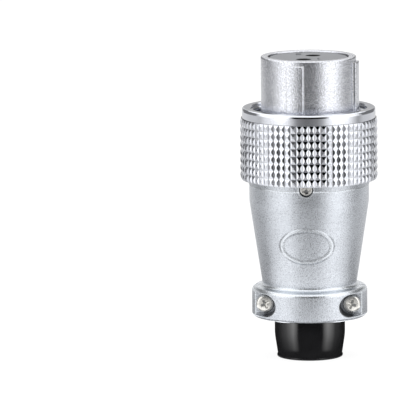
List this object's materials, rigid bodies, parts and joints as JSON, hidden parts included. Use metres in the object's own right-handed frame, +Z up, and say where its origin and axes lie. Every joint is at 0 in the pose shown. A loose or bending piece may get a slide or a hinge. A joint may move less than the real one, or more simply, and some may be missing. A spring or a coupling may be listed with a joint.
{
  "type": "circular connector cable plug",
  "caption": "Cable plug of a circular power connector: keyed metal nose with socket contacts, knurled coupling ring, tapered rear shell and a clamp collar round a rubber grommet.",
  "frame": {"origin": "centre of the cable bore's mouth, on the grommet's end face that the plug stands on", "axes": "+Z up the plug's axis towards the mating nose, -Y towards the heads of the clamp screws"},
  "size_m": [0.033, 0.033, 0.0732],
  "materials": {
    "nose_plating": "satin",
    "ring_plating": "polished",
    "shell_plating": "satin",
    "screw_nickel": "satin",
    "insulator": "satin",
    "contact_gold": "polished",
    "spring_steel": "satin",
    "black_rubber": "gloss"
  },
  "bodies": {
    "plug_body": {"front_barrel": "nose_plating", "insert_front": "insulator", "insert_rear": "insulator", "insert_snap_ring": "spring_steel", "face_gasket": "black_rubber", "shell_seal_ring": "black_rubber", "rear_shell": "shell_plating", "lock_screw": "screw_nickel", "clamp_screws": "screw_nickel", "screw_spring_washers": "screw_nickel", "cable_grommet": "black_rubber", "grommet_washer": "spring_steel", "contact_1": "contact_gold", "contact_2": "contact_gold", "contact_spring_1": "spring_steel", "contact_spring_2": "spring_steel"},
    "slip_washer": {"slip_washer": "spring_steel"},
    "coupling_ring": {"coupling_ring": "ring_plating"},
    "clamp_saddle": {"clamp_saddle": "shell_plating"}
  },
  "joints": [
    {"name": "ring_float", "type": "slide", "parent": "plug_body", "child": "slip_washer", "axis": [0, 0, 1], "range_m": [0, 0.003]},
    {"name": "ring_turn", "type": "hinge", "parent": "slip_washer", "child": "coupling_ring", "pos_m": [0, 0, 0.0493], "axis": [0, 0, 1], "continuous": true},
    {"name": "saddle_open", "type": "slide", "parent": "plug_body", "child": "clamp_saddle", "axis": [0, 1, 0], "range_m": [0, 0.0015]}
  ]
}
